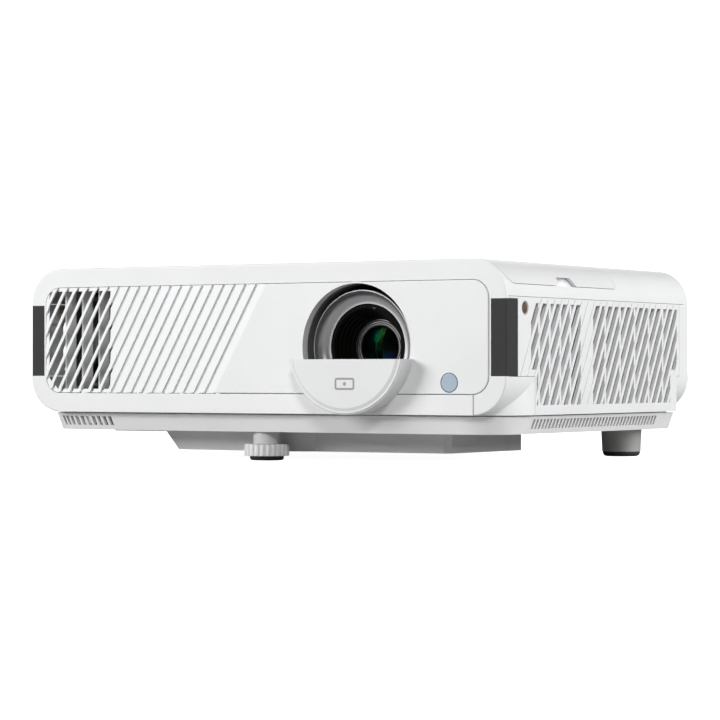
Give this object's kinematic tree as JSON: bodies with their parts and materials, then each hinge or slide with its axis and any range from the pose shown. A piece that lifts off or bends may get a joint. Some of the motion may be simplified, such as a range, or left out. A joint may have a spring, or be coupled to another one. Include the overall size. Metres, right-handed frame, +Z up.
{
  "type": "home projector",
  "caption": "White home projector with an offset lens, half-moon hood, slanted vents, hinged control lid, keypad, screw foot, and its lens, light engine and fans inside.",
  "frame": {"origin": "on the floor under the middle of the bounding box, with the front foot screwed in", "axes": "+X right seen from the front, +Y from the lens side towards the socket side, +Z up"},
  "size_m": [0.405, 0.305, 0.1401],
  "materials": {
    "case_white": "fine satin texture",
    "band_white": "fine satin texture",
    "hood_white": "fine satin texture",
    "lid_white": "fine satin texture",
    "strip_grey": "fine matt texture",
    "window_smoke": "smooth, faintly milky",
    "tray_grey": "matt, moulded",
    "plinth_grey": "matt, moulded",
    "foot_grey": "matt, moulded",
    "foot_white": "matt, moulded",
    "pad_rubber": "matt",
    "screw_brass": "brushed",
    "steel": "brushed",
    "keypad_grey": "satin",
    "key_white": "satin",
    "light_pipe": "clear, diffusing",
    "board_green": "solder resist",
    "well_black": "matt",
    "ring_silver": "satin",
    "barrel_black": "anodised, satin",
    "dial_grey": "knurled",
    "cell_black": "anodised, satin",
    "lens_glass": "polished and coated",
    "frame_alloy": "die-cast",
    "wheel_glass": "dichroic coated",
    "lamp_ceramic": "formed sheet",
    "fan_black": "moulded",
    "filter_foam": "open foam"
  },
  "bodies": {
    "chassis": {"front_frame": "case_white", "front_panel": "case_white", "side_panel_left": "case_white", "side_panel_right": "case_white", "top_cover": "case_white", "rear_shell": "case_white", "front_band": "band_white", "half_moon_hood": "hood_white", "corner_trims": "strip_grey", "ir_window": "window_smoke", "bottom_tray": "tray_grey", "base_plinth": "plinth_grey", "rear_feet": "foot_grey", "foot_socket": "foot_white", "rear_pads": "pad_rubber", "side_screws": "screw_brass", "mount_inserts": "screw_brass", "case_screws": "steel", "lid_hinge_pin": "steel", "lens_guide_rods": "steel", "rear_sockets": "steel", "keypad_plate": "keypad_grey", "status_lights": "light_pipe", "button_board": "board_green", "main_board": "board_green", "power_supply": "board_green", "lens_well_liner": "well_black", "lens_guide_frame": "frame_alloy", "optical_engine": "frame_alloy", "engine_heat_sink": "frame_alloy", "lamp_module": "lamp_ceramic", "fan_frames": "fan_black", "ac_inlet": "fan_black", "speaker": "fan_black", "dust_filters": "filter_foam"},
    "lid": {"control_lid": "lid_white"},
    "lens_unit": {"lens_ring": "ring_silver", "lens_barrel": "barrel_black", "lens_baffle": "well_black", "dust_shield": "well_black", "lens_carriage": "frame_alloy"},
    "shift_knob": {"shift_dial": "dial_grey"},
    "focus_sleeve": {"focus_ring": "barrel_black"},
    "focus_group": {"focus_cell": "cell_black", "front_lens": "lens_glass"},
    "zoom_sleeve": {"zoom_ring": "barrel_black"},
    "zoom_group": {"zoom_cell": "cell_black", "zoom_lens": "lens_glass"},
    "foot_tip": {"foot_pad": "pad_rubber"},
    "foot_screw": {"foot_wheel": "foot_grey"},
    "front_fan": {"fan_rotor_front": "fan_black"},
    "side_fan": {"fan_rotor_side": "fan_black"},
    "colour_disc": {"colour_wheel": "wheel_glass"},
    "power_key": {"power_button": "key_white"},
    "menu_key": {"menu_button": "key_white"},
    "ok_key": {"ok_button": "key_white"},
    "up_key": {"up_button": "key_white"},
    "down_key": {"down_button": "key_white"},
    "left_key": {"left_button": "key_white"},
    "right_key": {"right_button": "key_white"}
  },
  "joints": [
    {"name": "lid_hinge", "type": "hinge", "parent": "chassis", "child": "lid", "pos_m": [0.04483, 0, 0.1359], "axis": [0, -1, 0], "range_deg": [0, 100]},
    {"name": "lens_shift_slide", "type": "slide", "parent": "chassis", "child": "lens_unit", "axis": [0, 0, 1], "range_m": [-0.003, 0.003]},
    {"name": "shift_dial_turn", "type": "hinge", "parent": "chassis", "child": "shift_knob", "pos_m": [0.142, -0.0575, 0.128], "axis": [0, 0, 1], "range_deg": [-541, 541]},
    {"name": "focus_ring_turn", "type": "hinge", "parent": "lens_unit", "child": "focus_sleeve", "pos_m": [0.084, -0.0875, 0.0807], "axis": [0, 1, 0], "range_deg": [-22, 22]},
    {"name": "focus_cell_slide", "type": "slide", "parent": "lens_unit", "child": "focus_group", "axis": [0, 1, 0], "range_m": [-0.0015, 0.0015]},
    {"name": "zoom_ring_turn", "type": "hinge", "parent": "lens_unit", "child": "zoom_sleeve", "pos_m": [0.084, -0.0695, 0.0807], "axis": [0, 1, 0], "range_deg": [-13, 13]},
    {"name": "zoom_cell_slide", "type": "slide", "parent": "lens_unit", "child": "zoom_group", "axis": [0, 1, 0], "range_m": [-0.003, 0.003]},
    {"name": "front_foot_slide", "type": "slide", "parent": "chassis", "child": "foot_tip", "axis": [0, 0, -1], "range_m": [0, 0.012]},
    {"name": "front_foot_turn", "type": "hinge", "parent": "foot_tip", "child": "foot_screw", "pos_m": [-0.004, -0.1155, 0.0075], "axis": [0, 0, 1], "range_deg": [0, 2161]},
    {"name": "front_fan_spin", "type": "hinge", "parent": "chassis", "child": "front_fan", "pos_m": [-0.155, -0.093, 0.086], "axis": [0, -1, 0], "continuous": true},
    {"name": "side_fan_spin", "type": "hinge", "parent": "chassis", "child": "side_fan", "pos_m": [-0.172, -0.038, 0.086], "axis": [-1, 0, 0], "continuous": true},
    {"name": "colour_wheel_spin", "type": "hinge", "parent": "chassis", "child": "colour_disc", "pos_m": [0.0379, 0.03, 0.089], "axis": [1, 0, 0], "continuous": true},
    {"name": "power_press", "type": "slide", "parent": "chassis", "child": "power_key", "axis": [0, 0, -1], "range_m": [0, 0.0008], "stiffness_N_per_m": 400, "springref_m": -0.0005},
    {"name": "menu_press", "type": "slide", "parent": "chassis", "child": "menu_key", "axis": [0, 0, -1], "range_m": [0, 0.0008], "stiffness_N_per_m": 400, "springref_m": -0.0005},
    {"name": "ok_press", "type": "slide", "parent": "chassis", "child": "ok_key", "axis": [0, 0, -1], "range_m": [0, 0.0008], "stiffness_N_per_m": 400, "springref_m": -0.0005},
    {"name": "up_press", "type": "slide", "parent": "chassis", "child": "up_key", "axis": [0, 0, -1], "range_m": [0, 0.0008], "stiffness_N_per_m": 400, "springref_m": -0.0005},
    {"name": "down_press", "type": "slide", "parent": "chassis", "child": "down_key", "axis": [0, 0, -1], "range_m": [0, 0.0008], "stiffness_N_per_m": 400, "springref_m": -0.0005},
    {"name": "left_press", "type": "slide", "parent": "chassis", "child": "left_key", "axis": [0, 0, -1], "range_m": [0, 0.0008], "stiffness_N_per_m": 400, "springref_m": -0.0005},
    {"name": "right_press", "type": "slide", "parent": "chassis", "child": "right_key", "axis": [0, 0, -1], "range_m": [0, 0.0008], "stiffness_N_per_m": 400, "springref_m": -0.0005}
  ],
  "couplings": [
    {"joint": "shift_dial_turn", "follows": "lens_shift_slide", "rad_per_m": 3141.6},
    {"joint": "focus_cell_slide", "follows": "focus_ring_turn", "m_per_rad": 0.0039},
    {"joint": "zoom_cell_slide", "follows": "zoom_ring_turn", "m_per_rad": 0.0132},
    {"joint": "front_foot_turn", "follows": "front_foot_slide", "rad_per_m": 3141.6}
  ]
}
